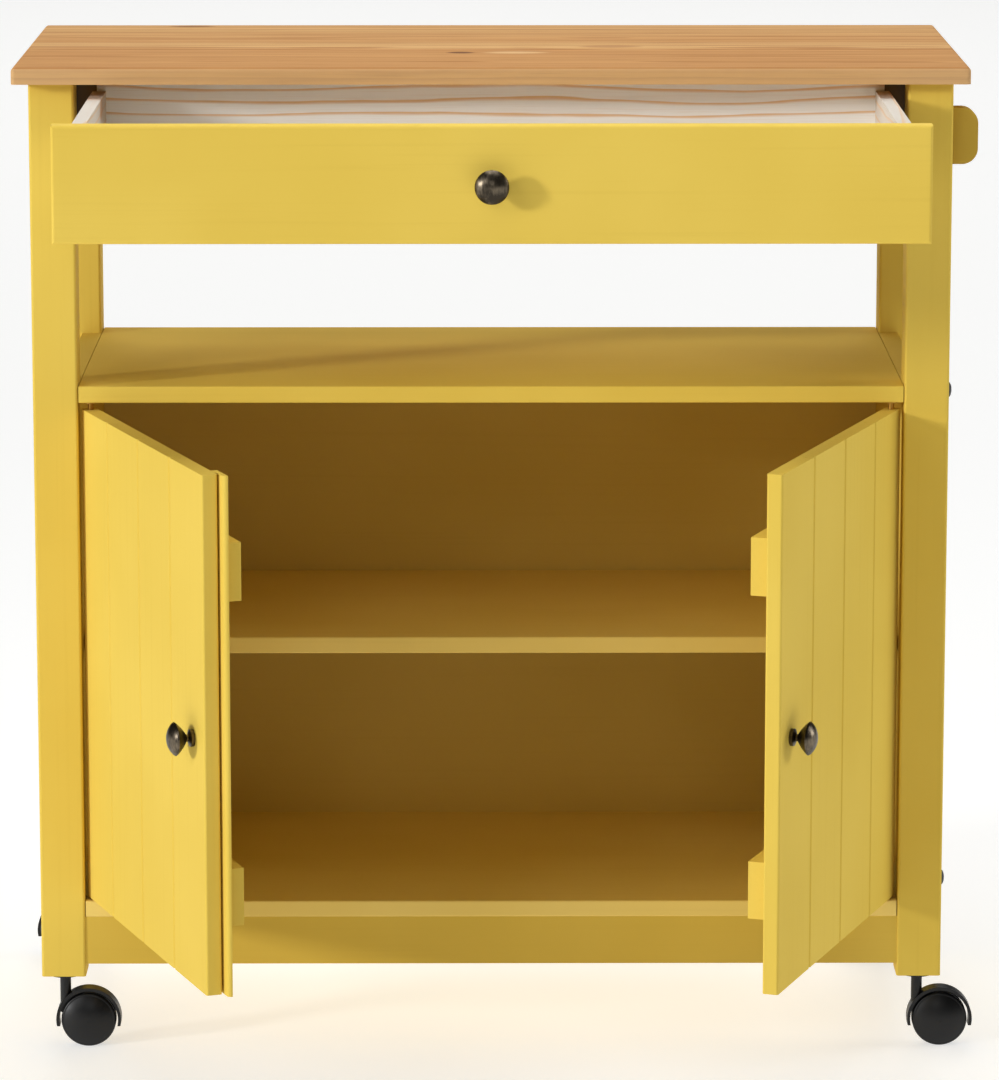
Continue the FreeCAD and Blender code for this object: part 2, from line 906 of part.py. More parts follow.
# A turned knob that points forwards from the face it sits on
def knob(label, offset):
    rim = s.knob_diameter / 2
    rim_edge = rim - s.knob_rim_step
    rim_middle = s.knob_rim_start + s.knob_rim_width / 2
    rim_end = s.knob_rim_start + s.knob_rim_width
    neck = s.knob_neck_diameter / 2
    points = [
        (zero, zero),
        (zero, s.knob_base_diameter / 2),
        (-s.knob_base_thickness, s.knob_base_diameter / 2),
        (-s.knob_neck_start, neck),
        (-s.knob_neck_end, neck),
        (-s.knob_rim_start, rim_edge),
        (-rim_middle, rim),
        (-rim_end, rim_edge),
        (-s.knob_projection, zero),
    ]
    arcs = {4: (s.knob_cone_radius, 1, False), 7: (s.knob_dome_radius, 1, False)}
    return turned(label, "Y", points, arcs, offset)


drawer_knob = knob("drawer_knob", (zero, zero, zero))
keep(put(drawer_knob, zero, -drawer_out, (front_foot + front_top) / 2))

# Doors: upright tongue-and-groove boards on battens, each door turning on two pins.
# Their sizes are measured from the pins' axis, with the free edge away from it.
door_foot = s.bottom_board_top + s.door_bottom_gap
door_top = middle_shelf_under - s.door_top_gap
door_height = door_top - door_foot
door_width = half_opening - s.door_hinge_gap - s.door_centre_gap / 2
board_cover = (door_width + s.hinge_board_rip) / board_count
door_front = -s.door_thickness / 2
door_rear = s.door_thickness / 2
hinge_edge = -s.door_pivot_inset
free_edge = door_width - s.door_pivot_inset


# The free edge lies towards the middle of the cart
def across_door(side, points, arcs=None):
    turned_points = [(turn_round(x, -side), y) for x, y in points]
    turned_arcs = {number: (arc[0], arc[1] * -side, arc[2]) for number, arc in (arcs or {}).items()}
    return turned_points, turned_arcs


def hang(body, side):
    yaw = s.door_open_angle * side
    return put(body, pivot_across * side, pivot_depth, zero, yaw)


# One board's section, seen from above: a tongue towards the free edge and a groove behind it
def board_outline(start, stop, first, last):
    half_joint = s.board_joint / 2
    low = start if first else start + half_joint
    high = stop if last else stop - half_joint
    chamfer = s.board_chamfer
    tongue = s.tongue_thickness / 2
    groove = tongue + s.seat
    points, arcs = [], {}
    if first:
        points.append((low + s.door_hinge_round, door_front))
    else:
        points.append((low + chamfer, door_front))
    if last:
        arcs[len(points)] = (s.door_free_arris, 1, False)
        points.append((high - s.door_free_arris, door_front))
        points.append((high, door_front + s.door_free_arris))
        arcs[len(points)] = (s.door_free_arris, 1, False)
        points.append((high, door_rear - s.door_free_arris))
        points.append((high - s.door_free_arris, door_rear))
    else:
        points.append((high - chamfer, door_front))
        points.append((high, door_front + chamfer))
        points.append((high, -tongue))
        points.append((high + s.tongue_length, -tongue))
        points.append((high + s.tongue_length, tongue))
        points.append((high, tongue))
        points.append((high, door_rear))
    if first:
        arcs[len(points)] = (s.door_hinge_round, 1, False)
        points.append((low + s.door_hinge_round, door_rear))
        points.append((low, door_rear - s.door_hinge_round))
        arcs[len(points)] = (s.door_hinge_round, 1, False)
        points.append((low, door_front + s.door_hinge_round))
    else:
        deep = s.tongue_length + s.board_joint * 2
        points.append((low, door_rear))
        points.append((low, groove))
        points.append((low + deep, groove))
        points.append((low + deep, -groove))
        points.append((low, -groove))
        points.append((low, door_front + chamfer))
    return points, arcs


pivot_pin_radius = s.pivot_pin_diameter / 2


def door_boards(side):
    boards = []
    hinge_cover = board_cover - s.hinge_board_rip
    for number in range(board_count):
        start = hinge_edge
        if number > 0:
            start = hinge_edge + hinge_cover + board_cover * (number - 1)
        stop = hinge_edge + hinge_cover + board_cover * number
        first, last = number == 0, number == board_count - 1
        outline, arcs = across_door(side, *board_outline(start, stop, first, last))
        body = new_body(f"{side_names[side]}_door_board_{number + 1}")
        extrude(body, "XY_Plane", outline, door_foot, door_height, arcs)
        if first:
            hole = pivot_pin_radius + s.press_fit
            bore(body, "XY_Plane", (zero, zero), hole, door_foot, s.pivot_pin_seat)
            bore(body, "XY_Plane", (zero, zero), hole, door_top - s.pivot_pin_seat, s.pivot_pin_seat)
        boards.append(hang(body, side))
    return keep(compound(f"{side_names[side]}_door_boards", boards))


# Battens on the door's back; the left ones are notched over the closing strip
def door_battens(side):
    start = hinge_edge + s.batten_hinge_inset
    rear = door_rear + s.batten_thickness
    if side == left:
        notch = free_edge - s.strip_glued_width - s.seat
        notch_rear = door_rear + s.strip_thickness + s.seat
        outline = [
            (start, door_rear),
            (notch, door_rear),
            (notch, notch_rear),
            (free_edge, notch_rear),
            (free_edge, rear),
            (start, rear),
        ]
    else:
        stop = free_edge - s.right_batten_free_inset
        outline = [(start, door_rear), (stop, door_rear), (stop, rear), (start, rear)]
    outline = across_door(side, outline)[0]
    feet = {
        "lower": door_foot + s.batten_end_inset,
        "upper": door_top - s.batten_end_inset - s.batten_height,
    }
    battens = []
    for level, foot in feet.items():
        body = new_body(f"{side_names[side]}_door_{level}_batten")
        extrude(body, "XY_Plane", outline, foot, s.batten_height)
        battens.append(hang(body, side))
    return keep(compound(f"{side_names[side]}_door_battens", battens))


def closing_strip():
    start = free_edge - s.strip_glued_width
    stop = free_edge + s.strip_overhang
    eased = door_rear + s.strip_relief
    rear = door_rear + s.strip_thickness
    outline = [
        (start, door_rear),
        (free_edge - s.strip_slot, door_rear),
        (free_edge - s.strip_slot, eased),
        (stop - s.strip_round, eased),
        (stop, eased + s.strip_round),
        (stop, rear),
        (start, rear),
    ]
    outline, arcs = across_door(left, outline, {3: (s.strip_round, 1, False)})
    body = extrude(new_body("left_door_strip"), "XY_Plane", outline, door_foot, door_height, arcs)
    return keep(hang(body, left))


def door_knob(side):
    place = (turn_round(free_edge - s.door_knob_inset, -side), door_front, s.door_knob_height)
    return keep(hang(knob(f"{side_names[side]}_door_knob", place), side))


# Steel pins pressed into the ends of the hinge board
def pivot_pins(side):
    radius = pivot_pin_radius
    stretches = {
        "lower": (s.bottom_board_top - s.bush_depth + s.rest_gap, door_foot + s.pivot_pin_seat),
        "upper": (door_top - s.pivot_pin_seat, middle_shelf_under + s.bush_depth - s.rest_gap),
    }
    pieces = []
    for level, (low, high) in stretches.items():
        points = [(low, zero), (low, radius), (high, radius), (high, zero)]
        pieces.append(hang(turned(f"{side_names[side]}_{level}_pivot_pin", "Z", points), side))
    return keep(compound(f"{side_names[side]}_pivot_pins", pieces))


for side in (left, right):
    door_boards(side)
    door_battens(side)
    door_knob(side)
    pivot_pins(side)
closing_strip()


# Flanged brass bushes for the pins; the doors stand on the lower flanges
def pivot_bush(side, level):
    inner = pivot_pin_radius + s.fit
    flange = s.bush_flange_diameter / 2
    if level == "lower":
        seat, way, lip = s.bottom_board_top, -1, s.door_bottom_gap - s.rest_gap
    else:
        seat, way, lip = middle_shelf_under, 1, s.top_bush_flange
    deep = seat + s.bush_depth * way
    face = seat - lip * way
    points = [
        (deep, inner),
        (deep, bush_radius),
        (seat, bush_radius),
        (seat, flange),
        (face, flange),
        (face, inner),
    ]
    body = turned(f"{side_names[side]}_{level}_bush", "Z", points)
    return put(body, pivot_across * side, pivot_depth, zero)


bushes = [pivot_bush(side, level) for side in (left, right) for level in ("lower", "upper")]
keep(compound("pivot_bushes", bushes))

# Casters: a moulded hood with a web between twin wheels and a boss round its steel stem.
# The front pair trails to the right and the rear pair to the left.
caster_yaws = {"front": zero, "rear": half_turn}
caster_ways = {"front": 1, "rear": -1}
stem_radius = s.stem_diameter / 2
stem_foot = wheel_radius + s.stem_seat
stem_top = post_foot + s.stem_insert
boss_foot = wheel_radius + s.boss_seat
boss_top = post_foot - s.socket_flange - s.boss_top_gap


def stem_line(end, side):
    return (half_frame - post_middle) * side, post_fronts[end] + post_middle


def caster_socket(end, side):
    inner = stem_radius + s.fit
    outer = s.socket_diameter / 2
    flange = s.socket_flange_diameter / 2
    foot = post_foot - s.socket_flange
    top = post_foot + s.socket_depth
    points = [
        (foot, inner),
        (foot, flange),
        (post_foot, flange),
        (post_foot, outer),
        (top, outer),
        (top, inner),
    ]
    body = turned(f"{end}_{side_names[side]}_caster_socket", "Z", points)
    across, depth = stem_line(end, side)
    return put(body, across, depth, zero)


# The arm from the hub meets the crescent at three angles up from the axle.
# The boss is cleared from the wheels' room on both sides of the web.
def caster_hood(end, side):
    body = new_body(f"{end}_{side_names[side]}_caster_hood")
    axle_across = s.caster_trail
    hood_foot = wheel_radius - s.hood_drop
    reach = s.hood_drop + s.hood_rise
    outer_half = root(hood_outer * hood_outer - reach * reach)
    inner_half = root(hood_inner * hood_inner - s.hood_drop * s.hood_drop)
    crescent = [
        (axle_across + outer_half, hood_foot),
        (axle_across - outer_half, hood_foot),
        (axle_across - inner_half, hood_foot),
        (axle_across + inner_half, hood_foot),
    ]
    arcs = {0: (hood_outer, 1, True), 2: (hood_inner, -1, True)}
    extrude(body, "XZ_Plane", crescent, -s.hood_width / 2, s.hood_width, arcs)
    web_start = -s.hood_web / 2
    hub_radius = s.hub_diameter / 2
    root_radius = hood_inner + s.hood_wall / 2
    arm = [(axle_across + hub_radius / 2, wheel_radius + hub_radius / 2)]
    for angle in (s.arm_top_angle, s.arm_middle_angle, s.arm_low_angle):
        across = axle_across + root_radius * cosine(angle)
        arm.append((across, wheel_radius + root_radius * sine(angle)))
    arm.append((axle_across - hub_radius / 2, wheel_radius - hub_radius / 2))
    extrude(body, "XZ_Plane", arm, web_start, s.hood_web)
    extrude_round(body, "XZ_Plane", (axle_across, wheel_radius), hub_radius, web_start, s.hood_web)
    boss_radius = s.boss_diameter / 2
    extrude_round(body, "XY_Plane", (zero, zero), boss_radius, boss_foot, boss_top - boss_foot)
    room = (s.boss_diameter - s.hood_web) / 2
    for start in (-boss_radius, s.hood_web / 2):
        bore(body, "XZ_Plane", (axle_across, wheel_radius), hood_inner, start, room, slight_cut)
    axle_hole = s.axle_diameter / 2 + s.fit
    bore(body, "XZ_Plane", (axle_across, wheel_radius), axle_hole, web_start, s.hood_web)
    stem_hole = stem_radius + s.press_fit
    bore(body, "XY_Plane", (zero, zero), stem_hole, stem_foot, boss_top - stem_foot)
    across, depth = stem_line(end, side)
    return keep(put(body, across, depth, zero, caster_yaws[end]))


def caster_stem(end, side):
    points = [
        (stem_foot, zero),
        (stem_foot, stem_radius),
        (stem_top - s.stem_tip, stem_radius),
        (stem_top, stem_radius - s.stem_tip),
        (stem_top, zero),
    ]
    body = turned(f"{end}_{side_names[side]}_caster_stem", "Z", points)
    across, depth = stem_line(end, side)
    return keep(put(body, across, depth, zero))


# Two wheels on one axle, which runs in the hood's web
def caster_wheels(end, side):
    face, dome, shoulder = s.wheel_outer_face, s.wheel_dome, s.wheel_shoulder
    inner = s.hood_web / 2 + s.wheel_web_gap
    axle = s.axle_diameter / 2
    rim = wheel_radius - shoulder
    edge = face - dome
    dome_radius = (rim * rim + dome * dome) / (dome * 2)
    points = [
        (-face, zero),
        (-edge, rim),
        (shoulder - edge, wheel_radius),
        (-inner, wheel_radius),
        (-inner, axle),
        (inner, axle),
        (inner, wheel_radius),
        (edge - shoulder, wheel_radius),
        (edge, rim),
        (face, zero),
    ]
    arcs = {
        0: (dome_radius, -1, False),
        1: (shoulder, -1, False),
        7: (shoulder, -1, False),
        8: (dome_radius, -1, False),
    }
    body = turned(f"{end}_{side_names[side]}_caster_wheels", "Y", points, arcs)
    across, depth = stem_line(end, side)
    return keep(put(body, across + s.caster_trail * caster_ways[end], depth, wheel_radius))


sockets = []
for end in ("front", "rear"):
    for side in (left, right):
        sockets.append(caster_socket(end, side))
        caster_hood(end, side)
        caster_stem(end, side)
        caster_wheels(end, side)
keep(compound("caster_sockets", sockets))

# Everything is checked before anything is written
doc.recompute()
for item in doc.Objects:
    if "Invalid" in item.State or "Error" in item.State:
        raise RuntimeError(f"{item.Label} failed: {item.State}")
for node in nodes:
    shape = node.Shape
    if shape.isNull() or not shape.isValid() or not shape.Solids:
        raise RuntimeError(f"{node.Label} has no valid shape")

os.makedirs("parts", exist_ok=True)
for node in nodes:
    node.Shape.exportStep(f"parts/{node.Label}.step")
print(f"{len(nodes)} sub-parts written")
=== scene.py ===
import math

import bpy
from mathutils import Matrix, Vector


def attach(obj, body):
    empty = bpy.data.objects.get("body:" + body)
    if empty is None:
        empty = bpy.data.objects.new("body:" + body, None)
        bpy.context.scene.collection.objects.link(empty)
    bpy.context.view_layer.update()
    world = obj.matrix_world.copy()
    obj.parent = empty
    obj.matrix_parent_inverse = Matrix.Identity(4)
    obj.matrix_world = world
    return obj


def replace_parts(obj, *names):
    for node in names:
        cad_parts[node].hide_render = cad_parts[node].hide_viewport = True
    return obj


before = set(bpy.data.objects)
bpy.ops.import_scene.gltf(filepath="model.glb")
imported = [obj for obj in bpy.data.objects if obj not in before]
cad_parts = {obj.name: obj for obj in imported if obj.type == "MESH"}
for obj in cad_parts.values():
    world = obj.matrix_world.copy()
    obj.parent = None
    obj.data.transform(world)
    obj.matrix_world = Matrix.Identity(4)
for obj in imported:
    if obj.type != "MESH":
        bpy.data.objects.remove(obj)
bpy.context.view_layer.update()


# sRGB 0..255 as the linear colour a shader socket takes
def tint(red, green, blue):
    channels = [value / 255 for value in (red, green, blue)]
    linear = [c / 12.92 if c <= 0.04045 else ((c + 0.055) / 1.055) ** 2.4 for c in channels]
    return (*linear, 1.0)


# a socket that takes plain arithmetic, each step a Math node
class Flow:
    def __init__(self, graph, socket):
        self.graph = graph
        self.socket = socket

    def maths(self, operation, *values):
        return self.graph.node("ShaderNodeMath", {"operation": operation}, dict(enumerate(values)))

    def __add__(self, other):
        return self.maths("ADD", self, other)

    def __sub__(self, other):
        return self.maths("SUBTRACT", self, other)

    def __rsub__(self, other):
        return self.maths("SUBTRACT", other, self)

    def __mul__(self, other):
        return self.maths("MULTIPLY", self, other)

    def __truediv__(self, other):
        return self.maths("DIVIDE", self, other)

    def __pow__(self, other):
        return self.maths("POWER", self, other)

    __radd__ = __add__

    def floor(self):
        return self.maths("FLOOR", self)

    def fraction(self):
        return self.maths("FRACT", self)

    def root(self):
        return self.maths("SQRT", self)


# any node: settings first, then socket values, links, or a list of links for a socket that takes many
class Graph:
    def node(self, kind, settings=None, sockets=None, out=0):
        made = self.tree.nodes.new(kind)
        for name, value in (settings or {}).items():
            setattr(made, name, value)
        for key, value in (sockets or {}).items():
            for link in value if isinstance(value, list) else [value]:
                if isinstance(link, Flow):
                    self.tree.links.new(link.socket, made.inputs[key])
                else:
                    made.inputs[key].default_value = link
        if isinstance(out, tuple):
            return [Flow(self, made.outputs[number]) for number in out]
        return Flow(self, made.outputs[out])

    def join(self, x, y, z):
        return self.node("ShaderNodeCombineXYZ", None, {0: x, 1: y, 2: z})


# one procedural material
class Finish(Graph):
    def __init__(self, name):
        self.material = bpy.data.materials.new(name)
        self.material.use_nodes = True
        self.tree = self.material.node_tree
        self.tree.nodes.clear()

    def place(self, turn=(0, 0, 0), shift=(0, 0, 0)):
        spot = self.node("ShaderNodeTexCoord", out=3)
        angles = tuple(math.radians(angle) for angle in turn)
        return self.node("ShaderNodeMapping", None, {"Vector": spot, "Rotation": angles, "Location": shift})

    def parts(self, vector):
        return self.node("ShaderNodeSeparateXYZ", None, {0: vector}, (0, 1, 2))

    def facing(self):
        return self.parts(self.node("ShaderNodeTexCoord", out=1))

    def stretch(self, vector, amounts):
        return self.node("ShaderNodeVectorMath", {"operation": "MULTIPLY"}, {0: vector, 1: amounts})

    def noise(self, vector, scale=1.0, detail=2.0, rough=0.5):
        sockets = {"Vector": vector, "Scale": scale, "Detail": detail, "Roughness": rough}
        return self.node("ShaderNodeTexNoise", None, sockets)

    def chance(self, value):
        return self.node("ShaderNodeTexWhiteNoise", {"noise_dimensions": "1D"}, {"W": value})

    def ease(self, value, low, high, first=0.0, last=1.0):
        sockets = {0: value, 1: low, 2: high, 3: first, 4: last}
        return self.node("ShaderNodeMapRange", {"interpolation_type": "SMOOTHSTEP"}, sockets)

    def mix(self, share, first, second):
        return self.node("ShaderNodeMix", {"data_type": "RGBA"}, {0: share, 6: first, 7: second}, 2)

    def bump(self, height, depth, strength):
        return self.node("ShaderNodeBump", None, {"Height": height, "Distance": depth, "Strength": strength})

    def shade(self, sockets):
        surface = self.node("ShaderNodeBsdfPrincipled", None, sockets)
        self.node("ShaderNodeOutputMaterial", None, {0: surface}, ())
        return self.material


noiseMiddle = 0.5  # what noise and chance give on average

# what all the pine shares: strands per metre along and across the grain, and where each blend starts and ends
pineGrain = {
    "luckSeed": 0.37, "otherLuckSeed": 57.91, "logSkip": 40, "driftAcross": 6, "driftRough": 0.45,
    "pithMiddle": 0.5, "pithStray": 0.8,
    "ripples": (7, 90, 90), "fibres": (14, 900, 900), "streaks": (2.2, 70, 70),
    "lateEnd": 0.93, "luckTone": 0.5, "streakTone": 0.9, "toned": (0.35, 0.95), "streaked": (0.58, 0.8),
    "fibrous": (0.5, 0.75), "knotFray": 0.8, "knotRim": (0.25, 1.15), "upward": (0.3, 0.7),
    "fibreRelief": 0.5, "lateRelief": 0.35, "bump": 0.6,
    "lateRough": 0.06, "fibreRough": 0.1, "specular": 0.05,
}


# solid pine: staves side by side, each sawn from its own log, so the rings agree on faces, edges and ends.
def makePine(name, look):
    f = Finish(name)
    wood = {**pineGrain, **look}
    # once turned, the grain runs along x, the staves lie side by side in y, and z is up through the board
    spot = f.place(wood["turn"], wood["shift"])
    x, y, z = f.parts(spot)
    stave = (y / wood["staveWidth"]).floor()
    luck = f.chance(stave + wood["luckSeed"])
    otherLuck = f.chance(stave + wood["otherLuckSeed"])
    alongLog = x * wood["driftPerMetre"] + luck * wood["logSkip"]
    log = f.join(alongLog, y * wood["driftAcross"], z * wood["driftAcross"])
    drift = (f.noise(log, rough=wood["driftRough"]) - noiseMiddle) * wood["wander"]
    pith = stave + wood["pithMiddle"] + (luck - noiseMiddle) * wood["pithStray"]
    across = y - pith * wood["staveWidth"] + drift
    down = z + wood["pithDepth"] + otherLuck * wood["pithSpread"] + drift
    ripple = f.noise(f.stretch(spot, wood["ripples"])) - noiseMiddle
    rings = (across * across + down * down).root() / wood["ringGap"] + ripple * wood["ripple"]
    year = rings.fraction()
    late = f.ease(year, wood["lateFrom"], wood["lateEnd"]) * (1 - f.ease(year, wood["lateEnd"], 1.0))
    fibre = f.noise(f.stretch(spot, wood["fibres"]), detail=3.0, rough=0.6)
    streak = f.noise(f.stretch(spot, wood["streaks"]), detail=3.0, rough=0.55)
    tone = f.ease(luck * wood["luckTone"] + streak * wood["streakTone"], *wood["toned"])
    colour = f.mix(tone, wood["pale"], wood["warm"])
    colour = f.mix(late * wood["lateShare"], colour, wood["late"])
    colour = f.mix(f.ease(streak, *wood["streaked"]) * wood["streakShare"], colour, wood["streak"])
    colour = f.mix(f.ease(fibre, *wood["fibrous"]) * wood["fibreShare"], colour, wood["streak"])
    for knot in wood["knots"]:
        reach = ((x - knot["at"][0]) / knot["long"]) ** 2 + ((y - knot["at"][1]) / knot["wide"]) ** 2
        core = 1 - f.ease(reach + ripple * wood["knotFray"], *wood["knotRim"])
        colour = f.mix(core * knot["share"], colour, knot["colour"])
    # painted light: faces that do not face up are mixed toward a paler colour, brightening the worktop's
    # front and end edges
    edge = f.ease(f.facing()[2] ** 2, *wood["upward"], wood["edgeShare"], 0.0)
    colour = f.mix(edge, colour, wood["edge"])
    height = fibre * wood["fibreRelief"] - late * wood["lateRelief"]
    fibreRough = (fibre - noiseMiddle) * wood["fibreRough"]
    return f.shade({
        "Base Color": colour,
        "Roughness": wood["roughness"] + late * wood["lateRough"] + fibreRough,
        "Normal": f.bump(height, wood["relief"], wood["bump"]),
        "Specular IOR Level": wood["specular"],
    })


# lacquered wood: an even film that shows a little of the grain under it
def makeLacquer(name, paint):
    f = Finish(name)
    spot = f.place(paint["turn"])
    grain = f.noise(f.stretch(spot, paint["grains"]), detail=3.0, rough=0.55)
    cloud = f.noise(spot, paint["clouds"])
    peel = f.noise(spot, paint["peel"])
    colour = f.mix(f.ease(cloud, *paint["clouded"]), paint["deep"], paint["bright"])
    colour = f.mix(f.ease(grain, *paint["grained"]) * paint["grainShare"], colour, paint["shadow"])
    # painted shade: faces turned inward along x are mixed toward a dark brown that stands in for shadow
    if paint["railShadeSide"]:
        inward = f.facing()[0] * paint["railShadeSide"]
        colour = f.mix(f.ease(inward, *paint["turned"]), colour, paint["railShade"])
    cloudRough = (cloud - noiseMiddle) * paint["cloudRough"]
    grainRough = (grain - noiseMiddle) * paint["grainRough"]
    height = grain * paint["grainRelief"] + peel * paint["peelRelief"]
    return f.shade({
        "Base Color": colour,
        "Roughness": paint["roughness"] + cloudRough + grainRough,
        "Normal": f.bump(height, paint["relief"], paint["bump"]),
        "Specular IOR Level": paint["specular"],
    })


# dark metal, a little paler on patches that hands reach
def makeBronze(name, metal):
    f = Finish(name)
    spot = f.place()
    patina = f.noise(spot, metal["patches"], detail=3.0)
    scuff = f.noise(f.stretch(spot, metal["scuffs"]), detail=3.0, rough=0.6)
    rubbed = f.ease(patina * metal["patchShare"] + scuff * metal["scuffShare"], *metal["worn"])
    scuffRough = (scuff - noiseMiddle) * metal["scuffRough"]
    return f.shade({
        "Base Color": f.mix(rubbed, metal["dark"], metal["rubbed"]),
        "Metallic": 1.0,
        "Roughness": metal["roughness"] - rubbed * metal["polish"] + scuffRough,
        "Normal": f.bump(scuff, metal["relief"], metal["bump"]),
    })


# moulded plastic with a fine spark-eroded skin
def makeMoulding(name, look):
    f = Finish(name)
    plastic = {**moulded, **look}
    spot = f.place()
    skin = f.noise(spot, plastic["skinGrain"], rough=0.6)
    flow = f.noise(spot, plastic["flowMarks"])
    skinRough = (skin - noiseMiddle) * plastic["skinRough"]
    flowRough = (flow - noiseMiddle) * plastic["flowRough"]
    return f.shade({
        "Base Color": f.mix(f.ease(flow, *plastic["marked"]), plastic["dark"], plastic["light"]),
        "Roughness": plastic["roughness"] + skinRough + flowRough,
        "Normal": f.bump(skin, plastic["relief"], plastic["skin"]),
        "Specular IOR Level": plastic["specular"],
    })


# plated or coated sheet and bar steel
def makeSteel(name, look):
    f = Finish(name)
    steel = {**milled, **look}
    spot = f.place()
    drawn = f.noise(f.stretch(spot, steel["drawn"]), detail=3.0, rough=0.6)
    spangle = f.noise(spot, steel["spangles"], detail=3.0)
    mottle = f.ease(spangle * steel["spangleShare"] + drawn * steel["drawnShare"], *steel["mottled"])
    return f.shade({
        "Base Color": f.mix(mottle, steel["dark"], steel["light"]),
        "Metallic": steel["metallic"],
        "Roughness": steel["roughness"] + (drawn - noiseMiddle) * steel["drawnRough"],
        "Normal": f.bump(drawn, steel["relief"], steel["bump"]),
    })


worktopPine = {
    "turn": (0, 0, 0), "shift": (0, 0.0387, -0.9),
    "staveWidth": 0.0572, "ringGap": 0.0042, "ripple": 0.5, "driftPerMetre": 1.7, "wander": 0.016,
    # the paler colour on the worktop's edges is painted light
    "pithDepth": 0.02, "pithSpread": 0.05, "lateFrom": 0.35, "edge": tint(226, 190, 140), "edgeShare": 0.5,
    "pale": tint(214, 170, 111), "warm": tint(197, 145, 86), "late": tint(162, 105, 55), "lateShare": 0.6,
    "streak": tint(146, 90, 44), "streakShare": 0.95, "fibreShare": 0.45,
    "roughness": 0.52, "relief": 0.00022,
    "knots": [
        {"at": (-0.027, 0.134), "long": 0.014, "wide": 0.0095, "share": 0.85, "colour": tint(104, 60, 30)},
        {"at": (0.109, 0.189), "long": 0.032, "wide": 0.013, "share": 0.5, "colour": tint(156, 96, 50)},
        {"at": (-0.282, 0.384), "long": 0.024, "wide": 0.009, "share": 0.7, "colour": tint(124, 74, 38)},
        {"at": (0.022, 0.134), "long": 0.032, "wide": 0.01, "share": 0.6, "colour": tint(230, 194, 142)},
    ],
}
drawerPine = {
    "turn": (90, 0, 0), "shift": (0, 0.9, 0),
    "staveWidth": 0.19, "ringGap": 0.0105, "ripple": 0.6, "driftPerMetre": 2.8, "wander": 0.055,
    "pithDepth": 0.03, "pithSpread": 0.02, "lateFrom": 0.66, "edge": tint(238, 230, 220), "edgeShare": 0.0,
    "pale": tint(246, 248, 248), "warm": tint(242, 242, 240), "late": tint(226, 178, 116), "lateShare": 0.85,
    "streak": tint(214, 176, 132), "streakShare": 0.22, "fibreShare": 0.16,
    "roughness": 0.6, "relief": 0.00025, "knots": [],
}
# a darker copy of the drawer back's pine: painted shade on the drawer sides, whose tops lie in shade under
# the worktop
shadedSidePine = {
    **drawerPine, "turn": (90, 90, 0),
    "pale": tint(224, 218, 208), "warm": tint(214, 206, 194), "lateShare": 0.5,
}
leftSidePine = {
    **shadedSidePine, "shift": (0.31, 0.9, -0.31),
    "knots": [{"at": (0.27, 0.036), "long": 0.02, "wide": 0.012, "share": 0.6, "colour": tint(196, 142, 88)}],
}
rightSidePine = {**shadedSidePine, "shift": (0.74, 0.9, 0.4)}
bottomPly = {
    **drawerPine, "turn": (0, 0, 0), "shift": (0.2, 0.4, -0.8), "staveWidth": 0.6, "wander": 0.12,
    "ringGap": 0.028, "lateFrom": 0.4, "lateShare": 0.4,
}
rodPine = {**drawerPine, "turn": (0, 0, 90), "shift": (0, 0.4, -0.83), "warm": tint(222, 190, 142)}
pineFinishes = {
    "worktopPine": (worktopPine, ["worktop"]),
    "drawerPine": (drawerPine, ["drawer_back"]),
    "leftSidePine": (leftSidePine, ["drawer_left_side"]),
    "rightSidePine": (rightSidePine, ["drawer_right_side"]),
    "bottomPly": (bottomPly, ["drawer_bottom"]),
    "rodPine": (rodPine, ["towel_rod"]),
}

yellow = {
    "deep": tint(225, 193, 82), "bright": tint(230, 199, 89), "shadow": tint(200, 164, 62),
    # painted shade for the top rails' inner faces beside the drawer
    "railShade": tint(58, 40, 20),
    "grains": (4, 240, 240), "clouds": 5.0, "peel": 900.0, "clouded": (0.3, 0.7), "grained": (0.52, 0.8),
    "turned": (0.5, 0.8), "grainShare": 0.1, "roughness": 0.66, "cloudRough": 0.08, "grainRough": 0.06,
    "grainRelief": 0.7, "peelRelief": 0.3, "relief": 0.00014, "bump": 0.5, "specular": 0.05,
}
railShadeSides = {"yellowLeftRail": 1, "yellowRightRail": -1}  # painted shade: the rail's inner face along x is mixed to dark brown, standing in for the deep shadow in the gap beside the drawer
lacquerFinishes = {  # which way the grain under the paint runs, and a factor on the coat's colours: above one on the drawer front, middle shelf, inner shelf and bottom board it is painted light, below one on the back panel, rear rail, plinth rail and brackets it is painted shade, set to how brightly each piece is lit
    "yellowFront": ((0, 0, 0), (1.06, 1.06, 1.08), ["drawer_front"]),
    "yellowShelf": ((0, 0, 0), (1.05, 1.05, 1.05), ["middle_shelf"]),
    "yellowInside": ((0, 0, 0), (1.08, 1.1, 1.75), ["inner_shelf", "bottom_board"]),
    "yellowBack": ((0, 0, 0), (0.86, 0.86, 1.25), ["back_panel"]),
    "yellowRail": ((0, 0, 0), (0.86, 0.81, 0.74), ["rear_top_rail", "plinth_rail"]),
    "yellowLeftRail": ((0, 0, 90), (0.95, 0.93, 0.9), ["left_top_rail"]),
    "yellowRightRail": ((0, 0, 90), (0.95, 0.93, 0.9), ["right_top_rail"]),
    "yellowBracket": ((0, 90, 0), (0.72, 0.66, 0.58), ["front_towel_bracket", "rear_towel_bracket"]),
    "yellowUpright": ((0, 90, 0), (1.0, 1.0, 1.0), [
        "front_left_post", "front_right_post", "rear_left_post", "rear_right_post", "left_side_panel",
        "right_side_panel", "corner_blocks", "left_door_boards", "left_door_strip", "right_door_boards"]),
    "yellowLeftBatten": ((0, 0, 70), (1.0, 1.0, 1.0), ["left_door_battens"]),
    "yellowRightBatten": ((0, 0, -70), (1.0, 1.0, 1.0), ["right_door_battens"]),
}

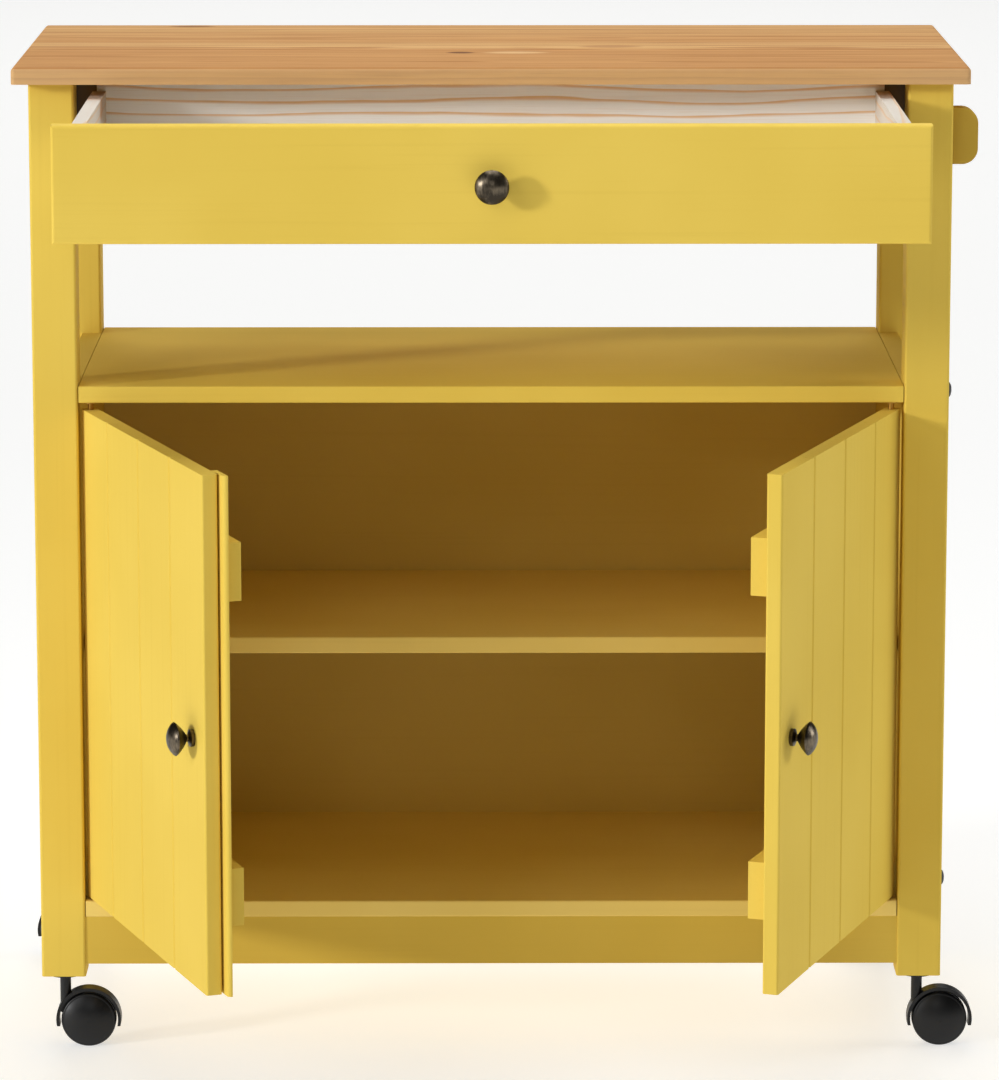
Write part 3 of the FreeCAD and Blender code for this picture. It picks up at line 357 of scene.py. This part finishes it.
bronze = {
    "dark": tint(62, 56, 48), "rubbed": tint(126, 114, 96), "roughness": 0.33, "patches": 60.0,
    "scuffs": (500, 500, 160), "patchShare": 0.7, "scuffShare": 0.4, "worn": (0.45, 0.75), "polish": 0.06,
    "scuffRough": 0.06, "relief": 0.00004, "bump": 0.3,
}
moulded = {
    "skinGrain": 1500.0, "flowMarks": 30.0, "marked": (0.35, 0.7), "skinRough": 0.16, "flowRough": 0.1,
    "relief": 0.00006,
}
casterBlack = {
    "dark": tint(10, 10, 11), "light": tint(15, 15, 16),
    "roughness": 0.38, "skin": 0.2, "specular": 0.36,
}
nylonWhite = {
    "dark": tint(224, 223, 214), "light": tint(236, 235, 228),
    "roughness": 0.5, "skin": 0.2, "specular": 0.45,
}
milled = {
    "spangles": 220.0, "spangleShare": 0.6, "drawnShare": 0.4, "mottled": (0.35, 0.7), "drawnRough": 0.18,
    "relief": 0.00003, "bump": 0.5,
}
zincSteel = {
    "drawn": (300, 300, 40), "dark": tint(150, 152, 154), "light": tint(196, 198, 200),
    "metallic": 1.0, "roughness": 0.36,
}
creamSteel = {
    "drawn": (200, 30, 200), "dark": tint(214, 211, 203), "light": tint(226, 223, 216),
    "metallic": 0.0, "roughness": 0.45,
}
blackSteel = {
    "drawn": (300, 300, 300), "dark": tint(22, 22, 23), "light": tint(40, 39, 39),
    "metallic": 0.4, "roughness": 0.42,
}
brass = {
    "drawn": (300, 300, 60), "dark": tint(166, 124, 52), "light": tint(196, 152, 74),
    "metallic": 1.0, "roughness": 0.4,
}
sides = ("left", "right")
corners = [f"{end}_{side}" for end in ("front", "rear") for side in sides]
otherFinishes = {
    "antiqueBronze": (makeBronze, bronze, ["drawer_knob", "left_door_knob", "right_door_knob"]),
    "casterPlastic": (makeMoulding, casterBlack, [
        f"{corner}_caster_{piece}" for corner in corners for piece in ("hood", "wheels")]),
    "whiteNylon": (makeMoulding, nylonWhite, [
        f"{side}_{end}_roller" for end in ("front", "rear") for side in sides]),
    "platedSteel": (makeSteel, zincSteel, ["shelf_pins"]),
    "coatedSteel": (makeSteel, creamSteel, [
        f"{side}_{part}_runner" for side in sides for part in ("cabinet", "drawer")]),
    "boltBlack": (makeSteel, blackSteel, [
        "side_bolts", "caster_sockets", *(f"{corner}_caster_stem" for corner in corners)]),
    "plainBrass": (makeSteel, brass, ["pivot_bushes", "left_pivot_pins", "right_pivot_pins"]),
}

finishes = {}
dressed = {}
for name, (wood, nodes) in pineFinishes.items():
    finishes[name] = makePine(name, wood)
    dressed.update(dict.fromkeys(nodes, name))
for name, (turn, tone, nodes) in lacquerFinishes.items():
    coat = {**yellow, "turn": turn, "railShadeSide": railShadeSides.get(name, 0)}
    for shade in ("deep", "bright", "shadow"):
        coat[shade] = (*(part * share for part, share in zip(yellow[shade], tone)), 1.0)
    finishes[name] = makeLacquer(name, coat)
    dressed.update(dict.fromkeys(nodes, name))
for name, (make, look, nodes) in otherFinishes.items():
    finishes[name] = make(name, look)
    dressed.update(dict.fromkeys(nodes, name))
for node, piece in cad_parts.items():
    for holder in piece.material_slots:
        holder.material = finishes[dressed[node]]
print("finishes:", len(finishes), "on", len(dressed), "nodes")

fullTurn = 6.28


# one geometry node tree that sets the same thing on every spot; each spot has the way it faces
class Shape(Graph):
    def __init__(self, name, sizes):
        self.tree = bpy.data.node_groups.new(name, "GeometryNodeTree")
        self.tree.interface.new_socket("Spots", in_out="INPUT", socket_type="NodeSocketGeometry")
        self.tree.interface.new_socket("Made", in_out="OUTPUT", socket_type="NodeSocketGeometry")
        for size in sizes:
            self.tree.interface.new_socket(size, in_out="INPUT", socket_type="NodeSocketFloat")
        entry = self.tree.nodes.new("NodeGroupInput")
        self.spots = Flow(self, entry.outputs[0])
        self.sizes = [Flow(self, entry.outputs[size]) for size in sizes]

    def drum(self, sides, low, high, tall):
        sockets = {"Vertices": sides, "Radius Bottom": low, "Radius Top": high, "Depth": tall}
        return self.node("GeometryNodeMeshCone", {"fill_type": "NGON"}, sockets)

    def block(self, x, y, z):
        return self.node("GeometryNodeMeshCube", None, {"Size": self.join(x, y, z)})

    def lift(self, geometry, height):
        sockets = {"Geometry": geometry, "Translation": self.join(0.0, 0.0, height)}
        return self.node("GeometryNodeTransform", None, sockets)

    def cut(self, whole, tools):
        return self.node("GeometryNodeMeshBoolean", {"operation": "DIFFERENCE"}, {0: whole, 1: tools})

    def spread(self, thing, material, seed):
        named = {"data_type": "FLOAT_VECTOR"}
        facing = self.node("GeometryNodeInputNamedAttribute", named, {"Name": "facing"})
        upright = self.node("FunctionNodeAlignRotationToVector", {"axis": "Z"}, {"Vector": facing})
        sockets = {"Points": self.spots, "Instance": thing, "Rotation": upright}
        things = self.node("GeometryNodeInstanceOnPoints", None, sockets)
        sockets = {2: 0.0, 3: fullTurn, 8: seed}
        spin = self.node("FunctionNodeRandomValue", {"data_type": "FLOAT"}, sockets, 1)
        turn = self.node("FunctionNodeEulerToRotation", None, {0: self.join(0.0, 0.0, spin)})
        things = self.node("GeometryNodeRotateInstances", None, {0: things, 2: turn, 4: True})
        solid = self.node("GeometryNodeRealizeInstances", None, {0: things})
        done = self.node("GeometryNodeSetMaterial", None, {0: solid, "Material": material})
        self.node("NodeGroupOutput", None, {0: done}, ())
        return self.tree


screwForm = {
    "sides": 32, "shoulder": 0.97, "crown": 0.7, "skirtTall": 0.45, "crownTall": 0.55, "slotReach": 1.15,
}


# cross-slotted pan head
def makeScrews(name, material, seed):
    shape = Shape(name, ["Head Radius", "Head Height", "Slot Width", "Slot Depth"])
    radius, height, slotWidth, slotDepth = shape.sizes
    shoulder = radius * screwForm["shoulder"]
    skirtTall = height * screwForm["skirtTall"]
    skirt = shape.drum(screwForm["sides"], radius, shoulder, skirtTall)
    crownTall = height * screwForm["crownTall"]
    crown = shape.drum(screwForm["sides"], shoulder, radius * screwForm["crown"], crownTall)
    head = shape.node("GeometryNodeJoinGeometry", None, {0: [skirt, shape.lift(crown, skirtTall)]})
    slotReach = radius * screwForm["slotReach"]
    bars = []
    for along, over in ((slotReach, slotWidth), (slotWidth, slotReach)):
        bars.append(shape.lift(shape.block(along, over, slotDepth * 2), height))
    return shape.spread(shape.cut(head, bars), material, seed)


boltForm = {"segments": 48, "rings": 24, "cutter": 3, "socketSides": 6}


# low dome with a six-sided socket
def makeBolts(name, material, seed):
    shape = Shape(name, ["Head Radius", "Head Height", "Socket Radius", "Socket Depth"])
    radius, height, socketRadius, socketDepth = shape.sizes
    sockets = {"Segments": boltForm["segments"], "Rings": boltForm["rings"], "Radius": radius}
    ball = shape.node("GeometryNodeMeshUVSphere", None, sockets)
    scale = shape.join(1.0, 1.0, height / radius)
    flat = shape.node("GeometryNodeTransform", None, {0: ball, "Scale": scale})
    cutter = radius * boltForm["cutter"]
    under = shape.lift(shape.block(cutter, cutter, height * 2), 0 - height)
    recess = shape.drum(boltForm["socketSides"], socketRadius, socketRadius, height)
    recess = shape.lift(recess, height - socketDepth)
    return shape.spread(shape.cut(flat, [under, recess]), material, seed)


# sets a tree's heads on spots, as one piece that rides on a body
def plant(name, tree, sizes, spots, body):
    mesh = bpy.data.meshes.new(name + "Spots")
    mesh.from_pydata([spot for spot, facing in spots], [], [])
    facings = mesh.attributes.new("facing", "FLOAT_VECTOR", "POINT")
    for entry, (spot, facing) in zip(facings.data, spots):
        entry.vector = facing
    carrier = bpy.data.objects.new(name + "Spots", mesh)
    bpy.context.scene.collection.objects.link(carrier)
    modifier = carrier.modifiers.new(name, "NODES")
    modifier.node_group = tree
    for item in tree.interface.items_tree:
        if item.in_out == "INPUT" and item.name in sizes:
            modifier[item.identifier] = sizes[item.name]
    evaluated = carrier.evaluated_get(bpy.context.evaluated_depsgraph_get())
    made = bpy.data.meshes.new_from_object(evaluated)
    made.name = name
    bpy.data.objects.remove(carrier)
    piece = bpy.data.objects.new(name, made)
    bpy.context.scene.collection.objects.link(piece)
    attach(piece, body)
    return piece


seeds = {"screws": 7, "bolts": 3}
rearwards = Vector((0, 1, 0))
rightwards = Vector((1, 0, 0))
woodScrew = {"Head Radius": 0.0036, "Head Height": 0.0011, "Slot Width": 0.0011, "Slot Depth": 0.0007}
knobScrew = {"Head Radius": 0.0042, "Head Height": 0.0018, "Slot Width": 0.0012, "Slot Depth": 0.0011}
screwTree = makeScrews("screwHeads", finishes["platedSteel"], seeds["screws"])
doors = {
    "pinAside": 0.358, "pinDeep": -0.0097, "open": 70.0, "battenFace": 0.027, "boardFace": 0.007,
    "screwsAlong": (0.033, 0.12175, 0.21575, 0.30975), "screwsUp": (0.213, 0.239, 0.494, 0.520),
    "knobAlong": 0.32475, "knobUp": 0.36,
}
for side, sign in (("left", -1), ("right", 1)):
    angle = math.radians(doors["open"]) * sign
    behind = Vector((-math.sin(angle), math.cos(angle), 0))
    along = Vector((-sign * math.cos(angle), -sign * math.sin(angle), 0))
    pin = Vector((sign * doors["pinAside"], doors["pinDeep"], 0))
    spots = []
    for up in doors["screwsUp"]:
        for far in doors["screwsAlong"]:
            spots.append((pin + along * far + behind * doors["battenFace"] + Vector((0, 0, up)), behind))
    plant(f"{side}BattenScrews", screwTree, woodScrew, spots, f"{side}_door")
    spot = pin + along * doors["knobAlong"] + behind * doors["boardFace"] + Vector((0, 0, doors["knobUp"]))
    plant(f"{side}KnobScrew", screwTree, knobScrew, [(spot, behind)], f"{side}_door")
drawer = {"knob": (0, -0.2847, 0.82875), "backAside": 0.349, "backFace": 0.0373, "backUp": (0.818, 0.862)}
plant("drawerKnobScrew", screwTree, knobScrew, [(drawer["knob"], rearwards)], "drawer")
spots = []
for sign in (-1, 1):
    for up in drawer["backUp"]:
        spots.append(((sign * drawer["backAside"], drawer["backFace"], up), rearwards))
plant("drawerBackScrews", screwTree, woodScrew, spots, "drawer")
panel = {"face": 0.3323, "reach": 0.35, "count": 8, "levels": (0.1325, 0.5905)}
panelScrew = {"Head Radius": 0.0028, "Head Height": 0.0008, "Slot Width": 0.0008, "Slot Depth": 0.0004}
spots = []
for up in panel["levels"]:
    for number in range(panel["count"]):
        aside = panel["reach"] * (2 * number / (panel["count"] - 1) - 1)
        spots.append(((aside, panel["face"], up), rearwards))
plant("backPanelScrews", screwTree, panelScrew, spots, "carcass")
boltHead = {"Head Radius": 0.00795, "Head Height": 0.00448, "Socket Radius": 0.0029, "Socket Depth": 0.0026}
bolts = {"face": 0.409, "deep": (0.0093, 0.3133), "levels": (0.155, 0.6055)}
boltTree = makeBolts("boltHeads", finishes["boltBlack"], seeds["bolts"])
spots = []
for deep in bolts["deep"]:
    for up in bolts["levels"]:
        spots.append(((bolts["face"], deep, up), rightwards))
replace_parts(plant("boltHeads", boltTree, boltHead, spots, "carcass"), "side_bolts")
print("fasteners set")

# floor, light and camera
studio = {
    "floorSize": 60.0, "floorPaint": tint(192, 192, 191), "floorDust": tint(186, 186, 186), "dustScale": 3.0,
    "dustShare": 0.1, "floorRoughness": 0.7, "floorGlow": 0.68, "glowTone": tint(243, 243, 242),
    "sky": (1.0, 1.0, 1.0, 1.0), "skyPower": 0.03,
}
softboxes = {  # turn is degrees to the left of the front, seen from the point that the box is aimed at
    "key": {"turn": 61.0, "rise": 12.3, "far": 25.0, "size": 3.0, "power": 3270.0, "aim": (0, 0, 0.75)},
    "front": {"turn": 2.0, "rise": 22.0, "far": 7.0, "size": 2.0, "power": 25.0, "aim": (0, 0, 0.5)},
    "upperLeft": {"turn": 40.0, "rise": 28.0, "far": 6.0, "size": 2.2, "power": 46.0, "aim": (0, 0, 0.6)},
    "right": {"turn": -98.0, "rise": 16.0, "far": 7.0, "size": 3.0, "power": 150.0, "aim": (0, 0, 0.5)},
    "top": {"turn": 0.0, "rise": 86.0, "far": 1.7, "size": 1.6, "power": 27.3, "aim": (0, 0, 0.9)},
    "back": {"turn": 180.0, "rise": 68.0, "far": 9.0, "size": 8.0, "power": 490.0, "aim": (0, 6.0, 0)},
}
floorMesh = bpy.data.meshes.new("floor")
half = studio["floorSize"] / 2
floorCorners = [(-half, -half, 0), (half, -half, 0), (half, half, 0), (-half, half, 0)]
floorMesh.from_pydata(floorCorners, [], [(0, 1, 2, 3)])
floor = bpy.data.objects.new("floor", floorMesh)
bpy.context.scene.collection.objects.link(floor)
floorFinish = Finish("paleFloor")
dust = floorFinish.noise(floorFinish.place(), studio["dustScale"], detail=3.0)
floorMesh.materials.append(floorFinish.shade({
    "Base Color": floorFinish.mix(dust * studio["dustShare"], studio["floorPaint"], studio["floorDust"]),
    "Roughness": studio["floorRoughness"],
    "Emission Color": studio["glowTone"],
    "Emission Strength": studio["floorGlow"],
}))

for name, box in softboxes.items():
    turn, rise = math.radians(box["turn"]), math.radians(box["rise"])
    towards = Vector((-math.sin(turn) * math.cos(rise), -math.cos(turn) * math.cos(rise), math.sin(rise)))
    lamp = bpy.data.lights.new(name + "Softbox", "AREA")
    lamp.size = box["size"]
    lamp.energy = box["power"]
    holder = bpy.data.objects.new(name + "Softbox", lamp)
    holder.location = Vector(box["aim"]) + towards * box["far"]
    holder.rotation_euler = (-towards).to_track_quat("-Z", "Y").to_euler()
    bpy.context.scene.collection.objects.link(holder)
world = bpy.data.worlds.new("studioSky")
world.use_nodes = True
world.node_tree.nodes["Background"].inputs["Color"].default_value = studio["sky"]
world.node_tree.nodes["Background"].inputs["Strength"].default_value = studio["skyPower"]
bpy.context.scene.world = world
bpy.context.scene.view_settings.view_transform = "Standard"

view = {
    "spot": (-0.0132, -4.864, 1.3925), "down": 10.738, "aside": -0.245,
    "focalPixels": 5498.4, "longSide": 1080, "sensor": 36.0,
}
camera = bpy.data.cameras.new("camera")
camera.sensor_width = view["sensor"]
camera.lens = view["focalPixels"] * view["sensor"] / view["longSide"]
cameraHolder = bpy.data.objects.new("camera", camera)
cameraHolder.location = view["spot"]
cameraHolder.rotation_euler = (math.radians(90 - view["down"]), 0, math.radians(view["aside"]))
bpy.context.scene.collection.objects.link(cameraHolder)
bpy.context.scene.camera = cameraHolder
print("studio set")
